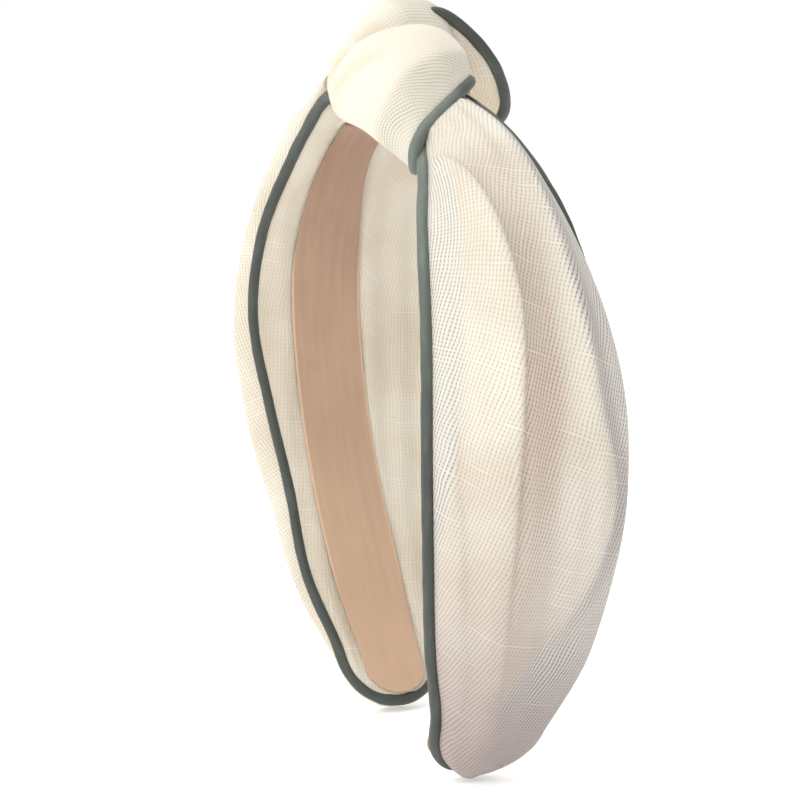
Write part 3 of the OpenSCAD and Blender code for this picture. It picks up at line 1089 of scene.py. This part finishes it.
@dataclass
class HoopLining:
    """The plastic core with its ribbons and tapes."""

    hoop: Hoop
    stock: Cupboard
    core_w: float = 14.0
    core_tip_w: float = 8.0
    ribbon_w: float = 18.0
    ribbon_knot_w: float = 12.0
    ribbon_t: float = 0.6
    lining_n: float = 1.55
    tape_n: float = 1.35
    tape_t: float = 0.15
    back_n: float = 0.95
    back_t: float = 0.4
    knot_start: float = 19.0
    core_tip: float = 182.08

    def ribbon_half(self, t: float) -> float:
        """Half width of the lining ribbon."""
        d, round_end = abs(t), 7.0
        swell, end = ease((d - 30) / 50), ease((d - self.hoop.leg_len + 40) / 35)
        full = self.ribbon_knot_w + (self.ribbon_w - self.ribbon_knot_w) * (swell - 0.5 * end)
        return full / 2 * nose((d - self.hoop.leg_len + round_end) / round_end)

    def core_half(self, t: float) -> float:
        """Half width of the core."""
        d, tip_r = abs(t), self.core_tip_w / 2
        taper = ease((d - self.hoop.crown_len) / (self.core_tip - self.hoop.crown_len))
        full = self.core_w + (self.core_tip_w - self.core_w) * taper
        return full / 2 * nose((d - self.core_tip + tip_r) / tip_r)

    def strip(
        self,
        name: str,
        start: float,
        end: float,
        n: float,
        half: Callable[[float], float],
        crown: float = 0.0,
    ) -> bpy.types.Object:
        """Ribbon along the hoop.

        Args:
            name: name of the piece.
            start: first place along the hoop, signed.
            end: last place along the hoop, signed.
            n: offset of its face from the middle of the core.
            half: half width at each place.
            crown: how far its middle stands proud of its edges.

        Returns:
            The piece, without thickness.
        """

        def place(v: float, u: float) -> Vector:
            """Point on the ribbon."""
            t = start + (end - start) * v
            if start * end > 0:
                t = start + (end - start) * sin(pi / 2 * v)
            y = self.hoop.core_mid(t) + (2 * u - 1) * max(half(t), 0.05)
            ripple = 0.05 * sin(t * 0.11) + 0.03 * sin(t * 0.31 + y * 0.3)
            lift = crown * (1 - (2 * u - 1) ** 4) + ripple
            return self.hoop.place(t, y, n - (lift if n < 0 else -lift))

        return woven_grid(name, 150, 24, place)

    def build(self) -> None:
        """Make the ribbons and tapes and finish the core."""
        back = self.strip(
            "core_back_ribbon_strip", 1 - self.core_tip, self.core_tip - 1, self.back_n + 0.1,
            lambda t: self.core_half(t) - 0.4,
        )  # fmt: skip
        thicken(back, self.back_t * 0.7, 1.0)
        dress(back, self.stock.back_ribbon, "back_ribbon", "core_back_ribbon")
        for side in Side:
            s, word = side.value, side.name.lower()
            tape = self.strip(
                f"{word}_tape_strip", s * (self.knot_start + 1), s * (self.core_tip - 1), -self.tape_n - 0.05,
                lambda t: self.ribbon_half(t) - 1.5,
            )  # fmt: skip
            thicken(tape, self.tape_t, 0.0)
            dress(tape, self.stock.tape, "tape", f"{word}_lining_tape")
            ribbon = self.strip(
                f"{word}_ribbon_strip", s * self.knot_start, s * self.hoop.leg_len,
                -self.lining_n - self.ribbon_t / 2, self.ribbon_half, 0.12,
            )  # fmt: skip
            thicken(ribbon, self.ribbon_t * 0.8, 0.0)
            edge = ribbon.modifiers.new("Soft edge", "BEVEL")
            edge.width, edge.segments, edge.limit_method = 0.15 * MM, 2, "ANGLE"
            dress(ribbon, self.stock.ribbon, "lining_ribbon", f"{word}_lining_ribbon")
        core = frame["nodes"]["band_core"]
        core.data.materials.clear()
        core.data.materials.append(self.stock.plastic)


# Knot


@dataclass
class Knot:
    """The knot on the crown: main wrap with its piped edge, upper fold and tacking."""

    hoop: Hoop
    stock: Cupboard
    cloth_t: float = 0.5
    piping_d: float = 2.8
    filler_d: float = 1.6
    wrap_rows: Rows = (
        ((-6, -8, -1.5), (4, -8, -1.6), (17, -8, -1.6), (27, -8, -1.6), (36, -8, -1.6)),
        ((-4, -14, 0), (4, -15, -3.6), (17, -14, -4.6), (30, -14.4, -3.4), (41.5, -10.6, -3.6)),
        ((-3, -15.5, 5), (4, -17, 3), (15, -16.7, 1.5), (29, -15, 1.5), (40.5, -11.4, 1)),
        ((-3, -12.5, 11), (4, -13.5, 10.2), (14, -12.7, 9.2), (26, -11, 7), (36.3, -8.3, 3.4)),
        ((-5, -6.5, 14), (2, -6, 14.8), (12, -5.2, 14.2), (21, -4.2, 10), (29.5, -1.8, 4.2)),
        ((-7, 2, 15), (1, 2.2, 16.5), (9, 3, 16), (17, 3.5, 11.8), (23, 4.6, 5)),
        ((-9, 9, 14), (-1, 9.5, 15.7), (6, 10, 14.8), (12, 10.8, 11), (15.5, 11, 5.8)),
        ((-10, 14, 9), (-4, 14.6, 10.5), (2, 15, 10), (6.5, 14.6, 7.8), (8.5, 13.2, 4.6)),
        ((-10, 15, 3), (-4, 16, 4), (1, 16, 4), (5, 15, 3), (7.5, 13.4, 1.8)),
        ((-10, 8, -1.5), (-4, 8, -1.6), (1, 8, -1.6), (5, 8, -1.6), (9, 8, -1.6)),
    )
    lump_rows: Rows = (
        ((-3, -12, 4), (-6, -11.8, 9.6), (-11, -10.5, 10.6), (-17, -8.5, 7.5), (-22, -6.8, 3)),
        ((-3, -9, 11), (-6, -7.5, 15.8), (-12, -6.3, 16.4), (-20, -5.3, 12.3), (-27, -4, 5)),
        ((-3, -3, 13), (-5, -2.8, 20), (-11, -1.6, 22.2), (-21, -1, 17.8), (-32, -1, 9)),
        ((-3, 5, 14), (-5.5, 5, 22.5), (-11, 5, 25.2), (-23, 4.5, 20.5), (-36, 4, 11.5)),
        ((-4, 12, 12), (-6.5, 12.5, 21.5), (-11, 12.5, 24.5), (-25, 12, 20), (-39, 11, 12)),
        ((-5, 15, 9), (-7.5, 17.5, 17), (-12, 18, 20), (-27, 18, 16.5), (-41, 17, 10.5)),
        ((-6, 14, 6), (-8, 18, 10), (-13, 21, 12), (-28, 23, 10.5), (-42, 23, 8)),
        ((-7, 12, 2), (-9, 16.5, 3), (-14, 21.5, 4), (-28, 26, 3.6), (-42, 27, 2.6)),
    )
    collar_rows: Rows = (
        ((-42, 31.5, 0.6), (-42, 27, 1.6), (-40, 20, 3)),
        ((-26, 34.2, 0.4), (-27, 28, 2.2), (-25, 20, 3)),
        ((-16.2, 33.2, 2.6), (-15, 26, 4), (-15, 17, 4)),
        ((-10.8, 28.6, 8), (-11, 23, 7.5), (-12, 15, 6)),
        ((-9.2, 24.6, 13), (-10, 20, 11.5), (-11, 13, 8)),
        ((-8.2, 19.3, 17.6), (-9, 15.5, 15), (-10, 10, 11)),
        ((-7.6, 13, 20.6), (-8, 10.5, 18), (-9, 8, 13)),
        ((-9, 9, 19.5), (-9, 7.5, 16), (-9, 5, 13)),
    )

    def spread(self, rows: Rows, v: float, u: float) -> Vector:
        """Point on the smooth sheet through rows of t, y, n.

        Args:
            rows: rows of points.
            v: share from the first row to the last.
            u: share along each row.

        Returns:
            The place as t, y, n.
        """
        return through([through([Vector(p) for p in row], u) for row in rows], v)

    def wrap(self) -> bpy.types.Object:
        """The cloth band tied round the crown, with the pleats drawn towards its front left end.

        Returns:
            The piece.
        """

        def place(v: float, u: float) -> Vector:
            """Point on the wrap."""
            p = self.spread(self.wrap_rows, v, u)
            shown = ease((v - 0.1) / 0.12) * ease((0.92 - v) / 0.12)
            drawn = 0.8 * sin(u * 17 + v * 6) * (1 - ease((u - 0.25) / 0.45)) * bump(v, 0.36, 0.2)
            tuck = -2.2 * bump(u, 0.12 + 0.5 * (v - 0.3), 0.06) * bump(v, 0.42, 0.14)
            crease = -1.3 * bump(u, 0.4 + 0.9 * (v - 0.3), 0.07) * bump(v, 0.32, 0.12)
            soft = 0.3 * sin(v * 21 + u * 5) * (1 - u)
            return self.hoop.place(p.x, p.y, p.z + (drawn + tuck + crease + soft) * shown)

        def layers(v: float, u: float) -> tuple[float, float, float]:
            """The wrap is single beside its piped edge, where its gaps take painted shade, and has painted
            shade along its creases.
            """
            painted_fold_shade = 1.0 * bump(u, 0.1 + 0.5 * (v - 0.3), 0.05) * bump(v, 0.38, 0.14)
            painted_fold_shade += 0.6 * bump(u, 0.4 + 0.9 * (v - 0.3), 0.06) * bump(v, 0.3, 0.12)
            return 1 - 0.9 * ease((u - 0.7) / 0.08) * (1 - 0.4 * ease((u - 0.84) / 0.1)), painted_fold_shade, 0.0

        obj = woven_grid("knot_wrap_cloth", 150, 64, place, layers=layers)
        thicken(obj, self.cloth_t, 0.0)
        dress(obj, self.stock.knot, "sheer_cloth", "knot_wrap")
        return obj

    def wrap_piping(self) -> None:
        """The piping on the wrap's lower edge and the cord inside it."""
        path = []
        for k in range(101):
            v = 0.04 + 0.88 * k / 100
            edge, inner = self.spread(self.wrap_rows, v, 1), self.spread(self.wrap_rows, v, 0.9)
            p, q = self.hoop.place(*edge), self.hoop.place(*inner)
            path.append(p + (p - q).normalized() * 0.9)
        path = smooth_path(path, 0.7, 6)
        r = self.piping_d / 2
        cover = tube("knot_wrap_piping_cover", path, lambda s, a: r * (1 + 0.02 * sin(s * 0.9)), 20)
        dress(cover, self.stock.piping, "piping_cloth", "knot_wrap_piping")
        filler = strands("knot_wrap_cord_strands", path, self.filler_d)
        dress(filler, self.stock.cord, "filler_cord", "knot_wrap_filler")

    def lump(self) -> bpy.types.Object:
        """The left casing's cloth where it turns over the top of the knot.

        Returns:
            The piece.
        """

        def place(v: float, u: float) -> Vector:
            """Point on the upper fold."""
            p = self.spread(self.lump_rows, v, u)
            wave = 0.45 * sin(u * 9 + v * 5) + 0.35 * sin(v * 20 + u * 3) * sin(pi * u)
            return self.hoop.place(p.x, p.y, p.z + wave * sin(pi * min(max(v, 0.05), 0.95)))

        def layers(v: float, u: float) -> tuple[float, float, float]:
            """The fold is single over its top, where its gaps take painted shade, and has painted shade where
            it goes under the wrap.
            """
            painted_fold_shade = 0.7 * bump(u, 0.1, 0.12) * bump(v, 0.1, 0.2)
            return 1 - 0.7 * ease((v - 0.34) / 0.13) * (1 - ease((u - 0.6) / 0.2)), painted_fold_shade, 0.0

        obj = woven_grid("knot_fold_cloth", 100, 60, place, layers=layers)
        thicken(obj, self.cloth_t, 0.0)
        dress(obj, self.stock.knot, "sheer_cloth", "knot_fold")
        return obj

    def collar(self) -> None:
        """The two layers of the left casing that stand up inside its piping behind the knot."""
        for name, low, material, slot in [
            ("collar_facing_cloth", 0.0, self.stock.facing, "facing_cloth"),
            ("collar_outer_cloth", 1.3, self.stock.sheer, "sheer_cloth"),
        ]:

            def place(v: float, u: float, low: float = low) -> Vector:
                """Point on one layer of the collar."""
                p = self.spread(self.collar_rows, v, u)
                slack = 0.4 * sin(v * 26) * sin(pi * u)
                return self.hoop.place(p.x - low * (0.3 + 0.7 * u), p.y, p.z + slack + low * 0.3)

            # Painted shade in the hollow, deepening across each layer away from its piped edge.
            obj = woven_grid(name, 80, 20, place, layers=lambda v, u: (1.0, 0.9 * u, 0.3 * u))
            thicken(obj, 0.3, 0.0)
            dress(obj, material, slot)

    def build(self) -> None:
        """Make every piece of the knot."""
        self.wrap()
        self.wrap_piping()
        self.lump()
        self.collar()
        stitches = frame["nodes"]["knot_tack_stitches"]
        stitches.data.materials.clear()
        stitches.data.materials.append(self.stock.thread)


# Studio


@dataclass
class Studio:
    """Floor, soft light and the camera."""

    floor_z: float = -0.0885
    turn: float = 70.06
    tilt: float = 5.507
    roll: float = -2.654
    distance: float = 0.5
    aim_right: float = -0.002677
    aim_up: float = -0.006829
    lens: float = 96.82
    dim_towards: tuple[float, float, float] = (0.6, 0.65, -0.47)
    dim: tuple[float, float, float, float] = (0.6, 0.58, 0.59, 1.0)

    def camera(self) -> None:
        """Stand the camera on the near side of the hoop, a little above it."""
        a, e, r = radians(self.turn), radians(self.tilt), radians(self.roll)
        back = Vector((sin(a) * cos(e), -cos(a) * cos(e), sin(e)))
        right = Vector((cos(a), sin(a), 0))
        up = back.cross(right)
        x_axis = right * cos(r) + up * sin(r)
        y_axis = up * cos(r) - right * sin(r)
        spot = right * self.aim_right + up * self.aim_up + back * self.distance
        data = bpy.data.cameras.new("camera")
        data.lens, data.sensor_width, data.clip_start = self.lens, 36.0, 0.01
        cam = bpy.data.objects.new("camera", data)
        turned = Matrix((x_axis, y_axis, back)).transposed().to_4x4()
        cam.matrix_world = Matrix.Translation(spot) @ turned
        bpy.context.scene.collection.objects.link(cam)
        bpy.context.scene.camera = cam

    def lamp(
        self, name: str, spot: tuple[float, float, float], size: float, power: float, colour: str
    ) -> None:
        """Add a soft square lamp that faces the middle of the headband.

        Args:
            name: its name.
            spot: where it hangs, in metres.
            size: its side.
            power: its power in watts.
            colour: its display colour.
        """
        data = bpy.data.lights.new(name, "AREA")
        data.size, data.energy, data.color = size, power, tone(colour)[:3]
        lamp = bpy.data.objects.new(name, data)
        lamp.location = spot
        lamp.rotation_euler = Vector(spot).to_track_quat("Z", "Y").to_euler()
        bpy.context.scene.collection.objects.link(lamp)

    def world(self) -> None:
        """White surround that dims low down on the back of the hoop."""
        world = bpy.data.worlds.new("studio")
        bpy.context.scene.world = world
        world.use_nodes = True
        tree = world.node_tree
        tree.nodes.clear()
        spot = tree.nodes.new("ShaderNodeTexCoord")
        dot = tree.nodes.new("ShaderNodeVectorMath")
        dot.operation = "DOT_PRODUCT"
        dot.inputs[1].default_value = Vector(self.dim_towards).normalized()
        share = tree.nodes.new("ShaderNodeMapRange")
        share.inputs["From Min"].default_value = -0.1
        share.inputs["From Max"].default_value = 0.8
        mix = tree.nodes.new("ShaderNodeMix")
        mix.data_type = "RGBA"
        mix.inputs[6].default_value = (1.0, 1.0, 1.0, 1.0)
        mix.inputs[7].default_value = self.dim
        glow = tree.nodes.new("ShaderNodeBackground")
        out = tree.nodes.new("ShaderNodeOutputWorld")
        tree.links.new(spot.outputs["Generated"], dot.inputs[0])
        tree.links.new(dot.outputs["Value"], share.inputs["Value"])
        tree.links.new(share.outputs[0], mix.inputs["Factor"])
        tree.links.new(mix.outputs[2], glow.inputs["Color"])
        tree.links.new(glow.outputs[0], out.inputs[0])

    def build(self) -> None:
        """Make the floor, light and camera."""
        bm = bmesh.new()
        bmesh.ops.create_grid(bm, x_segments=2, y_segments=2, size=30.0)
        bmesh.ops.translate(bm, verts=bm.verts, vec=(0, 0, self.floor_z))
        floor = finish_mesh("studio_floor", bm)
        floor.data.materials.append(StudioPaper().make())
        self.world()
        self.lamp("key_lamp", (0.45, -0.75, 0.6), 0.7, 5.0, "fffaf2")
        self.lamp("top_lamp", (-0.1, 0.0, 0.9), 0.6, 2.5, "ffffff")
        bpy.context.scene.view_settings.view_transform = "Standard"
        self.camera()


def main() -> None:
    """Build the headband and its studio."""
    logging.basicConfig(level=logging.INFO, format="%(name)s %(message)s")
    Studio().build()
    clamp = next(mount for mount in frame["record"]["mounts"] if mount["name"] == "head_clamp")
    hoop = Hoop(head_r=float(clamp["dims"]["r_mm"]))
    stock = Cupboard()
    HoopLining(hoop, stock).build()
    for side in Side:
        Casing(hoop, side, stock).build()
    Knot(hoop, stock).build()
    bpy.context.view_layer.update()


if __name__ == "__main__":
    main()
